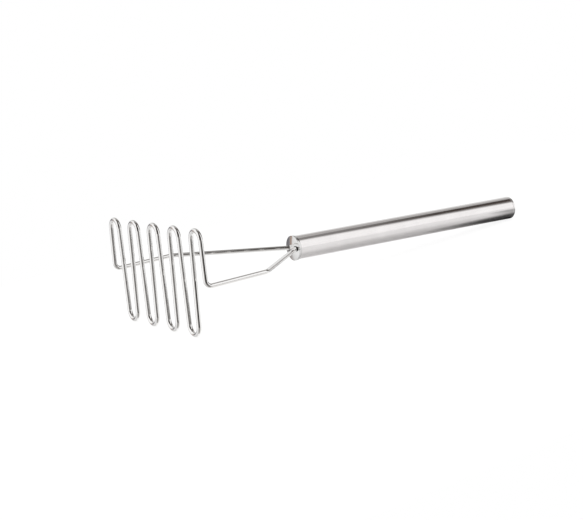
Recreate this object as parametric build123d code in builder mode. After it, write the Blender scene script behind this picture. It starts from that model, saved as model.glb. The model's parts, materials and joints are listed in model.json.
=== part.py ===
"""Wire potato masher: one bent wire for the grid and yoke, held in a capped steel tube handle.

Millimetres. The masher lies on a table as it is put down in use: the lower loops of the grid and the
lower rim of the handle's rear end touch z = 0. X runs across the legs of the grid, +Y from the grid to
the rear end of the handle, +Z up. The origin is on the table, under the middle of the whole tool.
"""
from math import asin, atan2, cos, degrees, hypot, sin, tan
import os

from build123d import *

# Driving dimensions: the whole tool
overall_length = 457.2      # front of the grid to the rear end, along the handle
handle_start = 160.2        # grid's middle plane to the front cap's rim

# Driving dimensions: the wire
wire_d = 4.76
legs = 10                   # even, counting the two half legs that end in the arms
leg_pitch = 22.5            # between legs, at mid height
loop_r = 9.8                # centre line of a hairpin loop
grid_height = 109.0         # over the outside of the loops
corner_drop = 1.6           # arms leave the grid this far below mid height
corner_bend_r = 6.0         # half leg into arm, centre line
arm_straight = 67.4         # grid's middle plane to the bend in the arm
arm_bend_rise = 1.9         # bend in the arm above the grid's mid height
arm_bend_r = 5.0            # bend in the arm, centre line
tang_pitch = 12.4           # between the two tangs inside the handle
tang_bend_r = 6.0           # arm into tang, centre line
tang_overrun = 4.0          # tang past the anchor plate

# Driving dimensions: the handle
tube_d = 25.4
tube_wall = 1.2
handle_rise = 2.5           # handle's axis above the grid's mid height
cap_overhang = 0.7          # front cap's rim past the tube
cap_rim = 1.4               # thickness of the front cap's rim
cap_rim_chamfer = 0.4
cap_crown = 1.3             # dome in front of the rim
end_thickness = 2.4         # rear cap outside the tube
end_round = 0.6
end_skirt = 9.0             # rear cap inside the tube
end_skirt_wall = 1.2
anchor_setback = 30.0       # front cap's rim to the anchor plate
anchor_thickness = 6.0
weld_leg = 1.5              # size of a weld bead, on the plate and on the tang

# Clearances
seat_gap = 0.05             # pressed pieces, drawn just clear of the bore
wire_hole_gap = 0.05        # tang in the anchor plate
slot_gap = 0.4              # wire in the front cap's slots

# Radii and places that follow, measured from the middle of the grid
wire_r = wire_d / 2
tube_r = tube_d / 2
bore_r = tube_r - tube_wall
plug_r = bore_r - seat_gap
cap_r = tube_r + cap_overhang
loop_z = grid_height / 2 - wire_r - loop_r
rear_end = overall_length - wire_r
tube_front = handle_start + cap_rim
tube_rear = rear_end - end_thickness
anchor_front = handle_start + anchor_setback
anchor_rear = anchor_front + anchor_thickness

# The table's line touches the wire of the lower loops and the rounded lower rim of the rear end
loop_low_z = wire_r - grid_height / 2
rim_y = rear_end - end_round
rim_low_z = handle_rise - tube_r + end_round
rim_high_z = handle_rise + tube_r - end_round
rim_rise = rim_low_z - loop_low_z
lean = atan2(rim_rise, rim_y) + asin((wire_r - end_round) / hypot(rim_y, rim_rise))
front_reach = wire_r - loop_low_z * sin(lean)
rear_reach = rim_y * cos(lean) + rim_high_z * sin(lean) + end_round
grid_y = (front_reach - rear_reach) / 2
grid_z = wire_r - loop_low_z * cos(lean)

# The tool's own planes: local y along the handle, local z up the legs
tool = Plane(origin=(0, grid_y, grid_z), x_dir=(1, 0, 0), z_dir=(0, sin(lean), cos(lean)))
grid_plane = Plane(origin=tool.origin, x_dir=tool.x_dir, z_dir=-tool.y_dir)
handle_plane = tool.offset(handle_rise)
handle_axis = Axis(handle_plane.origin, handle_plane.y_dir)


def across_handle(distance):
    """The plane square to the handle at a distance from the grid, facing the rear end."""
    centre = handle_plane.from_local_coords((0, distance, 0))
    return Plane(origin=centre, x_dir=tool.x_dir, z_dir=tool.y_dir)


# Each leg leans just enough to be tangent to the loop above it and to the loop below it
loop_rise = 2 * loop_z
leg_lean = atan2(leg_pitch, loop_rise) - asin(2 * loop_r / hypot(leg_pitch, loop_rise))
loop_start = degrees(leg_lean)
loop_sweep = 180 - 2 * loop_start

# The yoke: half leg, arm and tang of the right half
yoke_x = (legs - 1) / 2 * leg_pitch + corner_drop * tan(leg_lean)
tang_x = tang_pitch / 2
tang_end = anchor_rear + tang_overrun
arm_corner = tool.from_local_coords((yoke_x, 0, -corner_drop))
arm_bend = tool.from_local_coords((yoke_x, arm_straight, arm_bend_rise))
tang_corner = tool.from_local_coords((tang_x, handle_start, handle_rise))
tang_tip = tool.from_local_coords((tang_x, tang_end, handle_rise))

# One wire, drawn from the middle of the grid to the right tang and mirrored
with BuildPart() as mashing_wire:
    with BuildLine(grid_plane) as wire_path:
        middle_side = 1 if legs % 4 else -1
        turn = CenterArc((0, middle_side * loop_z), loop_r, middle_side * 90, middle_side * (loop_start - 90))
        for place in range(1, legs // 2):
            side = middle_side * (-1) ** place
            centre = (place * leg_pitch, side * loop_z)
            next_turn = CenterArc(centre, loop_r, side * (180 - loop_start), -side * loop_sweep)
            Line(turn @ 1, next_turn @ 0)
            turn = next_turn
        FilletPolyline(
            turn @ 1,
            arm_corner,
            arm_bend,
            tang_corner,
            tang_tip,
            radius=(corner_bend_r, arm_bend_r, tang_bend_r),
        )
        mirror(about=Plane.YZ)
    wire_run = wire_path.wire()
    with BuildSketch(Plane(origin=wire_run @ 0, z_dir=wire_run % 0)):
        Circle(wire_r)
    sweep(path=wire_run)
mashing_wire.part.label = "mashing_wire"

with BuildPart() as handle_tube:
    with BuildSketch(across_handle(tube_front)):
        Circle(tube_r)
        Circle(bore_r, mode=Mode.SUBTRACT)
    extrude(amount=tube_rear - tube_front)
handle_tube.part.label = "handle_tube"

# Domed disc on the tube's front end, with a slot for either arm
dome_front = handle_start - cap_crown
arm_slant = atan2(yoke_x - tang_x, handle_start - arm_straight)
dome_rise_at_tang = cap_crown * (1 - (tang_x / cap_r) ** 2)
slot_inner_x = tang_x - wire_r - slot_gap
slot_outer_x = tang_x + dome_rise_at_tang * tan(arm_slant) + wire_r / cos(arm_slant) + slot_gap
slot_x = (slot_inner_x + slot_outer_x) / 2
slot_length = slot_outer_x - slot_inner_x
slot_height = wire_d + 2 * slot_gap

with BuildPart() as front_cap:
    with BuildSketch(handle_plane) as cap_section:
        with BuildLine():
            TangentArc((0, dome_front), (cap_r, handle_start), tangent=(1, 0))
            Polyline((cap_r, handle_start), (cap_r, tube_front), (0, tube_front), (0, dome_front))
        make_face()
        chamfer(cap_section.vertices().sort_by(Axis.X)[-2:], length=cap_rim_chamfer)
    revolve(axis=handle_axis)
    with BuildSketch(across_handle(dome_front)):
        with Locations((-slot_x, 0), (slot_x, 0)):
            SlotOverall(slot_length, slot_height)
    extrude(amount=tube_front - dome_front, mode=Mode.SUBTRACT)
front_cap.part.label = "front_cap"

# Cap in the tube's rear end: a flush disc with a rounded edge, and a skirt pressed into the bore
with BuildPart() as rear_cap:
    with BuildSketch(across_handle(tube_rear)):
        Circle(tube_r)
    extrude(amount=end_thickness)
    fillet(rear_cap.edges().sort_by(handle_axis)[-1], radius=end_round)
    with BuildSketch(across_handle(tube_rear)):
        Circle(plug_r)
        Circle(plug_r - end_skirt_wall, mode=Mode.SUBTRACT)
    extrude(amount=-end_skirt)
rear_cap.part.label = "rear_cap"

# Plate in the bore that both tangs go through
with BuildPart() as tang_anchor:
    with BuildSketch(across_handle(anchor_front)):
        Circle(plug_r)
        with Locations((-tang_x, 0), (tang_x, 0)):
            Circle(wire_r + wire_hole_gap, mode=Mode.SUBTRACT)
    extrude(amount=anchor_thickness)
tang_anchor.part.label = "tang_anchor"

# A weld bead round each tang, behind the plate
tang_axis = Axis(tang_corner, handle_plane.y_dir)
bead_inner_x = tang_x + wire_r

with BuildPart() as tang_welds:
    with BuildSketch(handle_plane):
        with BuildLine():
            Polyline(
                (bead_inner_x, anchor_rear),
                (bead_inner_x + weld_leg, anchor_rear),
                (bead_inner_x, anchor_rear + weld_leg),
                close=True,
            )
        make_face()
    revolve(axis=tang_axis)
    mirror(about=Plane.YZ)
tang_welds.part.label = "tang_welds"

os.makedirs("parts", exist_ok=True)
export_step(mashing_wire.part, "parts/mashing_wire.step")
export_step(handle_tube.part, "parts/handle_tube.step")
export_step(front_cap.part, "parts/front_cap.step")
export_step(rear_cap.part, "parts/rear_cap.step")
export_step(tang_anchor.part, "parts/tang_anchor.step")
export_step(tang_welds.part, "parts/tang_welds.step")
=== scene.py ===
import json
from math import asin, atan2, copysign, cos, hypot, pi, radians, sin, tan

import bmesh
import bpy
from mathutils import Matrix, Quaternion, Vector


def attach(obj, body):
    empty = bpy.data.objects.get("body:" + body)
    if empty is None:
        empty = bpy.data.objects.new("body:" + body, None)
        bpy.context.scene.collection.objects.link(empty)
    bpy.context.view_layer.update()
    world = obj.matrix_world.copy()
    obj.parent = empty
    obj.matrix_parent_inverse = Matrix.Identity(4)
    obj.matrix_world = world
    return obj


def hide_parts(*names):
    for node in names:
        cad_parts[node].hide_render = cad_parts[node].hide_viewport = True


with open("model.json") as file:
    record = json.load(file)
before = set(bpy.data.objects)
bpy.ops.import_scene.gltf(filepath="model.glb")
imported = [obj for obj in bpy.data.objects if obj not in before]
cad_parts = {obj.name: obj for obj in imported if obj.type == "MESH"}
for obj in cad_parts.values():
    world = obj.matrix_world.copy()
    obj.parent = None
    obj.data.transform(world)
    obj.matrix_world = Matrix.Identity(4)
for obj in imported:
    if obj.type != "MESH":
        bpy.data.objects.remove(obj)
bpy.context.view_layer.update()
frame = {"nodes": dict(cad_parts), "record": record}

# Sizes of the masher in metres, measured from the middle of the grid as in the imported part
wire_radius = 0.00238
leg_count = 10
leg_pitch = 0.0225
loop_radius = 0.0098
grid_height = 0.109
corner_drop = 0.0016
corner_bend = 0.006
arm_straight = 0.0674
arm_bend_rise = 0.0019
arm_bend = 0.005
tang_offset = 0.0062
tang_bend = 0.006
tang_end = 0.2002
handle_start = 0.1602
handle_rise = 0.0025
tube_wall = 0.0012
tube_edge = 0.00012
cap_rim = 0.0014
cap_overhang = 0.0007
cap_crown = 0.0013
cap_skirt = 0.0026
cap_edge = 0.00025
slot_gap = 0.0004
end_thickness = 0.0024
end_round = 0.0006
end_skirt = 0.009
end_skirt_wall = 0.0012
seat_gap = 0.00005

# How fine the meshes are
wire_sides = 32
bend_step = radians(5)
fewest_bend_steps = 2
turn_steps = 96
end_round_steps = 8
dome_steps = 16
slot_sides = 48
cap_edge_steps = 3

# How near mesh corners are merged, in general and after the slots are cut, and which edges count as sharp
merge_distance = 1e-6
cut_merge = 0.00003
sharp_angle = radians(40)

# The handle's place, radius and length come from the record's grip mount
grip = frame["record"]["mounts"][0]
tube_radius = grip["dims"]["r_mm"] / 1000
tube_length = grip["dims"]["length_mm"] / 1000
along = Vector(grip["axis"]).normalized()
across = Vector((1, 0, 0))
upright = across.cross(along)
lean = atan2(-along.z, along.y)
tube_front = handle_start + cap_rim
tube_rear = tube_front + tube_length
rear_end = tube_rear + end_thickness
grip_middle = Vector(grip["pos_m"])
grid_middle = grip_middle - along * (tube_front + tube_rear) / 2 - upright * handle_rise

# The tool's own frame: x across the legs, y along the handle, z up the legs, origin in the middle of the grid
tool = Matrix((across, along, upright)).transposed().to_4x4()
tool.translation = grid_middle


def smooth_mesh(mesh, bm):
    """Writes a bmesh to a mesh that is shaded smooth up to its sharp edges."""
    for face in bm.faces:
        face.smooth = True
    bm.to_mesh(mesh)
    bm.free()
    mesh.set_sharp_from_angle(angle=sharp_angle)


def finish_piece(name, bm, slot, material, *nodes):
    """Places a piece that is modelled in the tool's own frame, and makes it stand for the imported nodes."""
    bmesh.ops.transform(bm, matrix=tool, verts=bm.verts)
    bmesh.ops.recalc_face_normals(bm, faces=bm.faces)
    mesh = bpy.data.meshes.new(name)
    smooth_mesh(mesh, bm)
    mesh.materials.append(material)
    piece = bpy.data.objects.new(name, mesh)
    bpy.context.scene.collection.objects.link(piece)
    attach(piece, "root")
    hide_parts(*nodes)
    return piece


# Wire


def wire_corners():
    """Corners of the whole wire from tang to tang, each with its bend's radius. A loop has two corners."""
    loop_z = grid_height / 2 - wire_radius - loop_radius
    leg_lean = atan2(leg_pitch, 2 * loop_z) - asin(2 * loop_radius / hypot(leg_pitch, 2 * loop_z))
    half_loop = loop_radius * tan((pi / 2 - leg_lean) / 2)
    top = loop_z + loop_radius
    side = 1 if leg_count % 4 else -1
    half = [((half_loop, 0, side * top), loop_radius)]
    for place in range(1, leg_count // 2):
        side = -side
        half.append(((place * leg_pitch - half_loop, 0, side * top), loop_radius))
        half.append(((place * leg_pitch + half_loop, 0, side * top), loop_radius))
    arm_x = (leg_count - 1) / 2 * leg_pitch + corner_drop * tan(leg_lean)
    half.append(((arm_x, 0, -corner_drop), corner_bend))
    half.append(((arm_x, arm_straight, arm_bend_rise), arm_bend))
    half.append(((tang_offset, handle_start, handle_rise), tang_bend))
    half.append(((tang_offset, tang_end, handle_rise), 0))
    other_half = [((-x, y, z), radius) for (x, y, z), radius in reversed(half)]
    return [(Vector(point), radius) for point, radius in other_half + half]


def ring_of(geom):
    """The corners of the new ring among what an operator made, and the edges that join them."""
    ring = [item for item in geom if isinstance(item, bmesh.types.BMVert)]
    edges = [item for item in geom if isinstance(item, bmesh.types.BMEdge)]
    return ring, [edge for edge in edges if all(vert in ring for vert in edge.verts)]


def drawn_on(layer, verts, distance):
    """Notes how far along the drawn wire these points lie, so that its finish follows the bends."""
    for vert in verts:
        vert[layer] = (distance, vert[layer].y, vert[layer].z)


def bend_wire(corners):
    """A round section pushed along each straight run and spun round each bend."""
    bm = bmesh.new()
    drawn = bm.verts.layers.float_vector.new("drawn")
    place = corners[0][0]
    heading = (corners[1][0] - place).normalized()
    ring = bmesh.ops.create_circle(bm, radius=wire_radius, segments=wire_sides)["verts"]
    for vert in ring:
        vert[drawn] = (0, vert.co.x, vert.co.y)
    turn_to_run = heading.to_track_quat("Z", "Y").to_matrix().to_4x4()
    bmesh.ops.transform(bm, matrix=Matrix.Translation(place) @ turn_to_run, verts=ring)
    edges = bm.edges[:]
    distance = 0
    for (corner, radius), (following, _) in zip(corners[1:], corners[2:] + [(None, 0)]):
        turn = 0 if following is None else heading.angle(following - corner)
        run = (corner - place).length - radius * tan(turn / 2)
        if run > merge_distance:
            ring, edges = ring_of(bmesh.ops.extrude_edge_only(bm, edges=edges)["geom"])
            bmesh.ops.translate(bm, vec=heading * run, verts=ring)
            distance += run
            place = place + heading * run
            drawn_on(drawn, ring, distance)
        if following is None:
            break
        leaving = (following - corner).normalized()
        axis = heading.cross(leaving).normalized()
        centre = place + axis.cross(heading) * radius
        steps = max(fewest_bend_steps, round(turn / bend_step))
        for _ in range(steps):
            spun = bmesh.ops.spin(
                bm, geom=edges, cent=centre, axis=axis, angle=turn / steps, steps=1, use_merge=False
            )
            ring, edges = ring_of(spun["geom_last"])
            distance += radius * turn / steps
            drawn_on(drawn, ring, distance)
        place = centre + Quaternion(axis, turn) @ (place - centre)
        heading = leaving
    bmesh.ops.holes_fill(bm, edges=[edge for edge in bm.edges if edge.is_boundary], sides=wire_sides)
    return bm


# Turned pieces, from a chain of points in the plane of radius and place along the handle


def chain(bm, *points):
    """Joins points to a chain of edges that goes on from the last vertex made."""
    for radius, distance in points:
        bm.verts.ensure_lookup_table()
        last = bm.verts[-1] if len(bm.verts) else None
        vert = bm.verts.new((radius, distance, 0))
        if last:
            bm.edges.new((last, vert))


def arc(bm, centre, angle, steps):
    """Goes on from the last vertex along an arc."""
    bm.verts.ensure_lookup_table()
    bmesh.ops.spin(
        bm, geom=[bm.verts[-1]], cent=(*centre, 0), axis=(0, 0, 1), angle=angle, steps=steps, use_merge=False
    )


def turn_round(bm):
    """Turns the chain round the handle's axis and lifts the piece to the handle's height."""
    bmesh.ops.spin(
        bm,
        geom=bm.verts[:] + bm.edges[:],
        cent=(0, 0, 0),
        axis=(0, 1, 0),
        angle=2 * pi,
        steps=turn_steps,
        use_merge=True,
    )
    bmesh.ops.remove_doubles(bm, verts=bm.verts, dist=merge_distance)
    bmesh.ops.translate(bm, vec=(0, 0, handle_rise), verts=bm.verts)


def turned_tube():
    """The handle's tube, its two ends with their sharp edges taken off."""
    bm = bmesh.new()
    bore = tube_radius - tube_wall
    chain(
        bm,
        (bore, tube_front),
        (tube_radius - tube_edge, tube_front),
        (tube_radius, tube_front + tube_edge),
        (tube_radius, tube_rear - tube_edge),
        (tube_radius - tube_edge, tube_rear),
        (bore, tube_rear),
        (bore, tube_front),
    )
    turn_round(bm)
    return bm


def turned_end():
    """The rear cap: a rounded disc and the skirt that is pressed into the tube."""
    bm = bmesh.new()
    skirt_outside = tube_radius - tube_wall - seat_gap
    skirt_inside = skirt_outside - end_skirt_wall
    chain(bm, (0, rear_end), (tube_radius - end_round, rear_end))
    arc(bm, (tube_radius - end_round, rear_end - end_round), -pi / 2, end_round_steps)
    chain(
        bm,
        (tube_radius, tube_rear + tube_edge),
        (tube_radius - tube_edge, tube_rear),
        (skirt_outside, tube_rear),
        (skirt_outside, tube_rear - end_skirt),
        (skirt_inside, tube_rear - end_skirt),
        (skirt_inside, tube_rear),
        (0, tube_rear),
    )
    turn_round(bm)
    return bm


def turned_cap():
    """The front cap before its slots are cut: a domed disc with a skirt over the tube's end."""
    bm = bmesh.new()
    cap_radius = tube_radius + cap_overhang
    skirt_inside = tube_radius + seat_gap
    skirt_rear = handle_start + cap_skirt
    dome_radius = (cap_radius**2 + cap_crown**2) / (2 * cap_crown)
    dome_front = handle_start - cap_crown
    chain(bm, (0, dome_front))
    arc(bm, (0, dome_front + dome_radius), asin(cap_radius / dome_radius), dome_steps)
    chain(
        bm,
        (cap_radius, skirt_rear),
        (skirt_inside, skirt_rear),
        (skirt_inside, tube_front - seat_gap),
        (0, tube_front - seat_gap),
    )
    turn_round(bm)
    return bm


def slot_cutter():
    """Two round-ended bars through the front cap, a little wider than the arms that pass there."""
    cap_radius = tube_radius + cap_overhang
    arm_x = (leg_count - 1) / 2 * leg_pitch
    arm_slant = atan2(arm_x - tang_offset, handle_start - arm_straight)
    dome_rise = cap_crown * (1 - (tang_offset / cap_radius) ** 2)
    end_radius = wire_radius + slot_gap
    inner = tang_offset - end_radius
    outer = tang_offset + dome_rise * tan(arm_slant) + wire_radius / cos(arm_slant) + slot_gap
    half_straight = (outer - inner) / 2 - end_radius
    lead = 2 * cap_crown
    upright_disc = Matrix.Rotation(pi / 2, 4, "X")
    bm = bmesh.new()
    for side in (-1, 1):
        disc = bmesh.ops.create_circle(
            bm, cap_ends=True, radius=end_radius, segments=slot_sides, matrix=upright_disc
        )
        for vert in disc["verts"]:
            vert.co.x += copysign(half_straight, vert.co.x) + side * (inner + outer) / 2
    bmesh.ops.translate(bm, vec=(0, handle_start - lead, handle_rise), verts=bm.verts)
    moved = bmesh.ops.extrude_face_region(bm, geom=bm.faces[:])["geom"]
    far_ends = [item for item in moved if isinstance(item, bmesh.types.BMVert)]
    bmesh.ops.translate(bm, vec=(0, lead + cap_skirt, 0), verts=far_ends)
    bmesh.ops.transform(bm, matrix=tool, verts=bm.verts)
    bmesh.ops.recalc_face_normals(bm, faces=bm.faces)
    mesh = bpy.data.meshes.new("slot cutter")
    bm.to_mesh(mesh)
    bm.free()
    cutter = bpy.data.objects.new("slot cutter", mesh)
    bpy.context.scene.collection.objects.link(cutter)
    return cutter


def cut_slots(cap):
    """Cuts the slots into the cap, merges the slivers that the cut leaves and takes off the sharp edges."""
    cutter = slot_cutter()
    cut = cap.modifiers.new("slots", "BOOLEAN")
    cut.object = cutter
    cut.solver = "EXACT"
    bm = bmesh.new()
    bm.from_object(cap, bpy.context.evaluated_depsgraph_get())
    cap.modifiers.clear()
    bpy.data.objects.remove(cutter)
    bmesh.ops.remove_doubles(bm, verts=bm.verts, dist=cut_merge)
    bmesh.ops.dissolve_degenerate(bm, dist=cut_merge, edges=bm.edges)
    bmesh.ops.bevel(
        bm,
        geom=[edge for edge in bm.edges if edge.calc_face_angle() > sharp_angle],
        offset=cap_edge,
        offset_type="OFFSET",
        segments=cap_edge_steps,
        profile=0.5,
        affect="EDGES",
        clamp_overlap=True,
        material=-1,
    )
    bmesh.ops.remove_doubles(bm, verts=bm.verts, dist=merge_distance)
    bmesh.ops.dissolve_degenerate(bm, dist=merge_distance, edges=bm.edges)
    smooth_mesh(cap.data, bm)


# Shader nodes


def group_of(name, inputs, outputs):
    """A shader node group with these sockets, and its two end nodes."""
    group = bpy.data.node_groups.new(name, "ShaderNodeTree")
    for socket, kind, value in inputs:
        made = group.interface.new_socket(socket, in_out="INPUT", socket_type=kind)
        if value is not None:
            made.default_value = value
    for socket in outputs:
        group.interface.new_socket(socket, in_out="OUTPUT", socket_type="NodeSocketFloat")
    return group, group.nodes.new("NodeGroupInput"), group.nodes.new("NodeGroupOutput")


def feed(tree, socket, value):
    """Links a socket to another socket, or sets it to a plain value."""
    if isinstance(value, bpy.types.NodeSocket):
        tree.links.new(value, socket)
    else:
        socket.default_value = value


def math_node(tree, operation, *values, clamp=False):
    """A Math node whose inputs are sockets or numbers."""
    node = tree.nodes.new("ShaderNodeMath")
    node.operation = operation
    node.use_clamp = clamp
    for socket, value in zip(node.inputs, values):
        feed(tree, socket, value)
    return node.outputs[0]


def noise_node(tree, vector, scale, detail, roughness):
    """A Noise Texture node, whose vector and scale are sockets."""
    node = tree.nodes.new("ShaderNodeTexNoise")
    tree.links.new(vector, node.inputs["Vector"])
    tree.links.new(scale, node.inputs["Scale"])
    node.inputs["Detail"].default_value = detail
    node.inputs["Roughness"].default_value = roughness
    return node.outputs["Fac"]


def range_node(tree, value, low, high, to_low, to_high):
    """A Map Range node that takes low and high to two new values, and goes no further."""
    node = tree.nodes.new("ShaderNodeMapRange")
    tree.links.new(value, node.inputs["Value"])
    for socket, number in zip(node.inputs[1:5], (low, high, to_low, to_high)):
        socket.default_value = number
    return node.outputs["Result"]


def colour_mix(tree, factor, first, second):
    """A Mix node set to colours, each of them a socket or a plain colour."""
    node = tree.nodes.new("ShaderNodeMix")
    node.data_type = "RGBA"
    inputs = {socket.identifier: socket for socket in node.inputs}
    outputs = {socket.identifier: socket for socket in node.outputs}
    feed(tree, inputs["Factor_Float"], factor)
    feed(tree, inputs["A_Color"], first)
    feed(tree, inputs["B_Color"], second)
    return outputs["Result_Color"]


# Finishes

# The range of the noise that is spread from 0 to 1, and the lines' share in colour and gloss
line_noise = (0.25, 0.75)
mark_noise = (0.3, 0.7)
line_share = 0.6

# A painted shade: the dark line where the tube comes out of the front cap's skirt
seam_reach = 0.0009
seam_shade_lightness = 0.2


def build_drawn_grain():
    """Fine lines that run along x, and softer marks of handling, both from 0 to 1."""
    tree, start, end = group_of(
        "drawn grain",
        [
            ("Vector", "NodeSocketVector", None),
            ("Line Scale", "NodeSocketFloat", 2500.0),
            ("Line Stretch", "NodeSocketFloat", 0.02),
            ("Mark Scale", "NodeSocketFloat", 60.0),
        ],
        ["Lines", "Marks"],
    )
    stretch = tree.nodes.new("ShaderNodeCombineXYZ")
    tree.links.new(start.outputs["Line Stretch"], stretch.inputs["X"])
    stretch.inputs["Y"].default_value = 1
    stretch.inputs["Z"].default_value = 1
    stretched = tree.nodes.new("ShaderNodeVectorMath")
    stretched.operation = "MULTIPLY"
    tree.links.new(start.outputs["Vector"], stretched.inputs[0])
    tree.links.new(stretch.outputs["Vector"], stretched.inputs[1])
    lines = noise_node(
        tree, stretched.outputs["Vector"], start.outputs["Line Scale"], detail=4, roughness=0.65
    )
    marks = noise_node(tree, start.outputs["Vector"], start.outputs["Mark Scale"], detail=3, roughness=0.55)
    tree.links.new(range_node(tree, lines, *line_noise, 0, 1), end.inputs["Lines"])
    tree.links.new(range_node(tree, marks, *mark_noise, 0, 1), end.inputs["Marks"])
    return tree


drawn_grain = build_drawn_grain()


def metal(name, colours, roughnesses, line_depth, grain, vector_of):
    """Bare steel whose colour, gloss and surface follow its drawn lines and marks of handling."""
    material = bpy.data.materials.new(name)
    material.use_nodes = True
    tree = material.node_tree
    shader = tree.nodes["Principled BSDF"]
    shader.inputs["Metallic"].default_value = 1
    pattern = tree.nodes.new("ShaderNodeGroup")
    pattern.node_tree = drawn_grain
    for socket, value in grain.items():
        pattern.inputs[socket].default_value = value
    tree.links.new(vector_of(tree), pattern.inputs["Vector"])
    marks = math_node(tree, "MULTIPLY", pattern.outputs["Marks"], 1 - line_share)
    blend = math_node(tree, "MULTIPLY_ADD", pattern.outputs["Lines"], line_share, marks)
    ramp = tree.nodes.new("ShaderNodeValToRGB")
    for element, colour in zip(ramp.color_ramp.elements, colours):
        element.color = (*colour, 1)
    tree.links.new(blend, ramp.inputs["Fac"])
    tree.links.new(ramp.outputs["Color"], shader.inputs["Base Color"])
    tree.links.new(range_node(tree, blend, 0, 1, *roughnesses), shader.inputs["Roughness"])
    bump = tree.nodes.new("ShaderNodeBump")
    bump.inputs["Distance"].default_value = line_depth
    tree.links.new(pattern.outputs["Lines"], bump.inputs["Height"])
    tree.links.new(bump.outputs["Normal"], shader.inputs["Normal"])
    return material


def wire_vector(tree):
    """The place on the wire before it was bent."""
    node = tree.nodes.new("ShaderNodeAttribute")
    node.attribute_name = "drawn"
    return node.outputs["Vector"]


def handle_vector(tree):
    """Object coordinates turned so that x runs along the handle."""
    place = tree.nodes.new("ShaderNodeTexCoord")
    turned = tree.nodes.new("ShaderNodeMapping")
    turned.inputs["Rotation"].default_value = (lean, 0, -pi / 2)
    tree.links.new(place.outputs["Object"], turned.inputs["Vector"])
    return turned.outputs["Vector"]


def paint_seam_shade(material):
    """Paints a shade on the tube: a thin darker line where it comes out of the front cap's skirt."""
    tree = material.node_tree
    base = tree.nodes["Principled BSDF"].inputs["Base Color"]
    unshaded = base.links[0].from_socket
    axes = tree.nodes.new("ShaderNodeSeparateXYZ")
    tree.links.new(handle_vector(tree), axes.inputs["Vector"])
    seam = along.dot(grid_middle) + handle_start + cap_skirt
    seam_shaded = tree.nodes.new("ShaderNodeVectorMath")
    seam_shaded.operation = "SCALE"
    tree.links.new(unshaded, seam_shaded.inputs[0])
    lightness = range_node(tree, axes.outputs["X"], seam, seam + seam_reach, seam_shade_lightness, 1)
    tree.links.new(lightness, seam_shaded.inputs["Scale"])
    tree.links.new(seam_shaded.outputs["Vector"], base)


polished_wire = metal(
    "polished wire",
    colours=((0.87, 0.855, 0.845), (0.98, 0.975, 0.965)),
    roughnesses=(0.02, 0.06),
    line_depth=0.000002,
    grain={"Line Scale": 4000.0, "Line Stretch": 0.02, "Mark Scale": 90.0},
    vector_of=wire_vector,
)
satin_tube = metal(
    "satin tube",
    colours=((0.82, 0.795, 0.79), (0.96, 0.935, 0.93)),
    roughnesses=(0.07, 0.17),
    line_depth=0.00001,
    grain={"Line Scale": 1800.0, "Line Stretch": 0.012, "Mark Scale": 45.0},
    vector_of=handle_vector,
)
# Painted shade along the seam where the tube meets the front cap's skirt
paint_seam_shade(satin_tube)
polished_cap = metal(
    "polished cap",
    colours=((0.70, 0.695, 0.69), (0.84, 0.835, 0.83)),
    roughnesses=(0.08, 0.14),
    line_depth=0.000002,
    grain={"Line Scale": 900.0, "Line Stretch": 0.2, "Mark Scale": 150.0},
    vector_of=handle_vector,
)
inner_steel = metal(
    "inner steel",
    colours=((0.42, 0.40, 0.38), (0.62, 0.61, 0.60)),
    roughnesses=(0.30, 0.50),
    line_depth=0.00002,
    grain={"Line Scale": 700.0, "Line Stretch": 0.5, "Mark Scale": 120.0},
    vector_of=handle_vector,
)

# Pieces

finish_piece("bent_wire", bend_wire(wire_corners()), "polished_wire", polished_wire, "mashing_wire")
finish_piece("handle_shell", turned_tube(), "satin_tube", satin_tube, "handle_tube")
finish_piece("end_disc", turned_end(), "satin_tube", satin_tube, "rear_cap")
cut_slots(finish_piece("domed_cap", turned_cap(), "polished_cap", polished_cap, "front_cap"))
for inner in ("tang_anchor", "tang_welds"):
    frame["nodes"][inner].data.materials.clear()
    frame["nodes"][inner].data.materials.append(inner_steel)

# Floor, in four rectangles, of which metal mirrors the two at the back

floor_left = -0.45
floor_right = 0.60
floor_front = -0.60
floor_back = 0.60
floor_split = 0.13
mirrored_front_left = -0.07
mirrored_front_right = 0.0
floor_tone = 0.9

# How the view sees the floor: a glow that lifts it to white, and a tone that takes the shadow
seen_glow = 0.9
seen_tone = 0.16

# Painted soft oval shadows on the floor under the handle, which the view doesn't see: middle, reach and
# darkest value
painted_floor_shades = (
    ((0.013, 0.06, 0), (0.036, 0.25, 1), 0.83),
    ((0.0088, 0.218, 0), (0.0125, 0.115, 1), 0.17),
    ((0.033, 0.247, 0), (0.045, 0.037, 1), 0.5),
)
shade_core = 0.3


def floor_lightness(tree):
    """How light the floor is, darkest in the core of each painted shadow."""
    place = tree.nodes.new("ShaderNodeTexCoord")
    lightness = floor_tone
    for middle, reach, darkest in painted_floor_shades:
        centred = tree.nodes.new("ShaderNodeMapping")
        centred.vector_type = "TEXTURE"
        centred.inputs["Location"].default_value = middle
        centred.inputs["Scale"].default_value = reach
        tree.links.new(place.outputs["Object"], centred.inputs["Vector"])
        distance = tree.nodes.new("ShaderNodeVectorMath")
        distance.operation = "LENGTH"
        tree.links.new(centred.outputs["Vector"], distance.inputs[0])
        shade = range_node(tree, distance.outputs["Value"], shade_core, 1, darkest, 1)
        lightness = math_node(tree, "MULTIPLY", lightness, shade)
    return lightness


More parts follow.
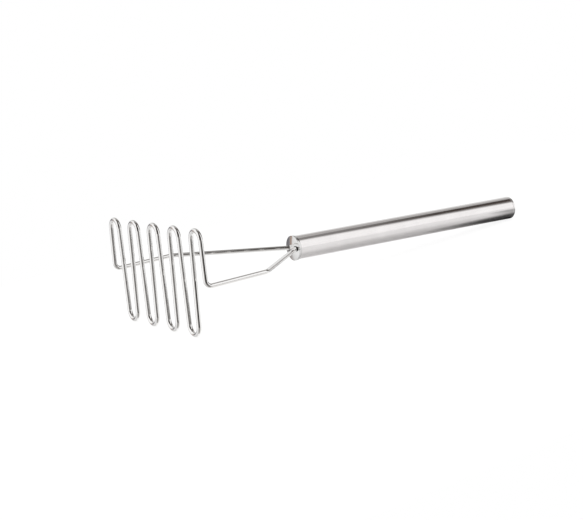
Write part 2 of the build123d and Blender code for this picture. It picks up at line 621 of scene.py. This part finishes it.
def floor_material():
    """Pale and matt. The view sees it lifted to white, with the masher's shadow left on it."""
    material = bpy.data.materials.new("pale floor")
    material.use_nodes = True
    tree = material.node_tree
    tree.nodes.remove(tree.nodes["Principled BSDF"])
    output = tree.nodes["Material Output"]
    matt = tree.nodes.new("ShaderNodeBsdfDiffuse")
    tree.links.new(floor_lightness(tree), matt.inputs["Color"])
    shaded = tree.nodes.new("ShaderNodeBsdfDiffuse")
    shaded.inputs["Color"].default_value = (seen_tone, seen_tone, seen_tone, 1)
    glow = tree.nodes.new("ShaderNodeEmission")
    glow.inputs["Strength"].default_value = seen_glow
    lifted = tree.nodes.new("ShaderNodeAddShader")
    tree.links.new(shaded.outputs["BSDF"], lifted.inputs[0])
    tree.links.new(glow.outputs["Emission"], lifted.inputs[1])
    seen = tree.nodes.new("ShaderNodeMixShader")
    path = tree.nodes.new("ShaderNodeLightPath")
    tree.links.new(path.outputs["Is Camera Ray"], seen.inputs["Fac"])
    tree.links.new(matt.outputs["BSDF"], seen.inputs[1])
    tree.links.new(lifted.outputs["Shader"], seen.inputs[2])
    tree.links.new(seen.outputs["Shader"], output.inputs["Surface"])
    return material


pale_floor = floor_material()


def lay_floor(name, left, right, front, back, mirrored):
    """A flat rectangle of floor, which polished metal may or may not mirror."""
    bm = bmesh.new()
    bmesh.ops.create_grid(bm, x_segments=1, y_segments=1, size=0.5)
    bmesh.ops.scale(bm, vec=(right - left, back - front, 1), verts=bm.verts)
    bmesh.ops.translate(bm, vec=((left + right) / 2, (front + back) / 2, 0), verts=bm.verts)
    mesh = bpy.data.meshes.new(name)
    bm.to_mesh(mesh)
    bm.free()
    mesh.materials.append(pale_floor)
    floor = bpy.data.objects.new(name, mesh)
    floor.visible_glossy = mirrored
    bpy.context.scene.collection.objects.link(floor)


# The metal doesn't mirror the floor in front, so the wire mirrors the lower part of the studio there
lay_floor("floor", floor_left, floor_split, mirrored_front_left, floor_back, True)
lay_floor("floor_rear_right", floor_split, floor_right, mirrored_front_right, floor_back, True)
lay_floor("floor_front_right", floor_split, floor_right, floor_front, mirrored_front_right, False)
lay_floor("floor_front", floor_left, floor_split, floor_front, mirrored_front_left, False)

# Surroundings

white = (1, 1, 1, 1)
horizon_light = 0.1
overhead_light = 1.35

# What metal mirrors of the studio: azimuth, elevation, half width, half height, softness, brightness.
# The angles are in degrees, with azimuth 0 towards -y and 90 towards +x. A patch lies over those before it.
studio = (
    (180, 90, 180, 24, 8, (0.07, 0.06, 0.055)),
    (150, 64, 45, 10, 4, (0.22, 0.20, 0.19)),
    (-105, 10, 45, 30, 15, (0.80, 0.80, 0.80)),
    (-124, 51, 33, 23, 9, (0.42, 0.41, 0.40)),
    (-153, 24, 8, 6, 3, (0.12, 0.115, 0.11)),
    (180, 5, 24, 12, 5, (0.30, 0.29, 0.28)),
    (180, 36, 22, 20, 8, (0.04, 0.03, 0.025)),
    (163, 33, 12, 12, 6, (0.10, 0.085, 0.075)),
    (-35, -45, 55, 25, 10, (0.70, 0.70, 0.70)),
    (154, -13.5, 20, 4.5, 2, (0.34, 0.33, 0.32)),
    (120, -11.5, 15, 4.5, 1.5, (0.06, 0.055, 0.05)),
    (135, -50, 30, 28, 8, (0.78, 0.77, 0.76)),
    (28, -50, 12, 30, 8, (0.50, 0.49, 0.48)),
    (72, -52, 36, 32, 8, (0.28, 0.27, 0.26)),
    (83, 44, 29, 28, 4, (0.04, 0.034, 0.03)),
    (80, 6, 26, 12, 4, (0.04, 0.034, 0.03)),
    (38, 40, 18, 34, 3, (0.04, 0.034, 0.03)),
    (42, -8, 20, 12, 6, (0.26, 0.25, 0.24)),
    (86, -12, 27, 14, 5, (0.02, 0.017, 0.015)),
    (-150, -4, 13, 12, 6, (0.34, 0.33, 0.32)),
    (-76, 1, 13, 13, 3, (0.21, 0.205, 0.22)),
    (-60, 5, 3, 9, 1.5, (0.40, 0.28, 0.22)),
    (-70, -16, 8, 8, 5, (0.42, 0.39, 0.38)),
)


def build_soft_patch():
    """A soft-edged patch of the surroundings, by angles in degrees: 1 inside, 0 outside, half at its edge."""
    tree, start, end = group_of(
        "soft patch",
        [
            ("Direction", "NodeSocketVector", None),
            ("Azimuth", "NodeSocketFloat", 0.0),
            ("Elevation", "NodeSocketFloat", 0.0),
            ("Half Width", "NodeSocketFloat", 20.0),
            ("Half Height", "NodeSocketFloat", 20.0),
            ("Softness", "NodeSocketFloat", 6.0),
        ],
        ["Mask"],
    )
    parts = tree.nodes.new("ShaderNodeSeparateXYZ")
    tree.links.new(start.outputs["Direction"], parts.inputs["Vector"])
    forwards = math_node(tree, "MULTIPLY", parts.outputs["Y"], -1)
    azimuth = math_node(tree, "DEGREES", math_node(tree, "ARCTAN2", parts.outputs["X"], forwards))
    elevation = math_node(tree, "DEGREES", math_node(tree, "ARCSINE", parts.outputs["Z"]))
    sideways = math_node(tree, "SUBTRACT", azimuth, start.outputs["Azimuth"])
    sideways = math_node(tree, "ABSOLUTE", math_node(tree, "WRAP", sideways, 180, -180))
    upwards = math_node(tree, "ABSOLUTE", math_node(tree, "SUBTRACT", elevation, start.outputs["Elevation"]))
    masks = []
    for offset, size in ((sideways, "Half Width"), (upwards, "Half Height")):
        inside = math_node(tree, "SUBTRACT", start.outputs[size], offset)
        edge = math_node(tree, "DIVIDE", inside, start.outputs["Softness"])
        masks.append(math_node(tree, "MULTIPLY_ADD", edge, 0.5, 0.5, clamp=True))
    tree.links.new(math_node(tree, "MULTIPLY", *masks), end.inputs["Mask"])
    return tree


def build_surroundings():
    """A world that the view sees white, that metal mirrors as the studio and that lights from overhead."""
    world = bpy.data.worlds.new("white tent")
    world.use_nodes = True
    tree = world.node_tree
    direction = tree.nodes.new("ShaderNodeTexCoord").outputs["Generated"]
    patch = build_soft_patch()
    mirrored = white
    for *measures, brightness in studio:
        mask = tree.nodes.new("ShaderNodeGroup")
        mask.node_tree = patch
        tree.links.new(direction, mask.inputs["Direction"])
        for socket, value in zip(("Azimuth", "Elevation", "Half Width", "Half Height", "Softness"), measures):
            mask.inputs[socket].default_value = value
        mirrored = colour_mix(tree, mask.outputs["Mask"], mirrored, (*brightness, 1))
    parts = tree.nodes.new("ShaderNodeSeparateXYZ")
    tree.links.new(direction, parts.inputs["Vector"])
    overhead = range_node(tree, parts.outputs["Z"], 0, 1, horizon_light, overhead_light)
    path = tree.nodes.new("ShaderNodeLightPath")
    lit = colour_mix(tree, path.outputs["Is Camera Ray"], overhead, white)
    seen = colour_mix(tree, path.outputs["Is Glossy Ray"], lit, mirrored)
    tree.links.new(seen, tree.nodes["Background"].inputs["Color"])
    bpy.context.scene.world = world


build_surroundings()

# Camera, fitted to the photograph

camera_place = Vector((1.36613, -0.85540, 0.35429))
camera_azimuth = radians(60.038)
camera_elevation = radians(11.645)
camera_roll = radians(-10.584)
camera_sensor = 36
camera_lens = 93.874

camera_data = bpy.data.cameras.new("camera")
camera_data.sensor_width = camera_sensor
camera_data.lens = camera_lens
camera = bpy.data.objects.new("camera", camera_data)
bpy.context.scene.collection.objects.link(camera)
forward = Vector((
    -sin(camera_azimuth) * cos(camera_elevation),
    cos(camera_azimuth) * cos(camera_elevation),
    -sin(camera_elevation),
))
camera.location = camera_place
camera.rotation_mode = "QUATERNION"
camera.rotation_quaternion = forward.to_track_quat("-Z", "Y") @ Quaternion((0, 0, 1), camera_roll)
bpy.context.scene.camera = camera
bpy.context.scene.view_settings.view_transform = "Standard"
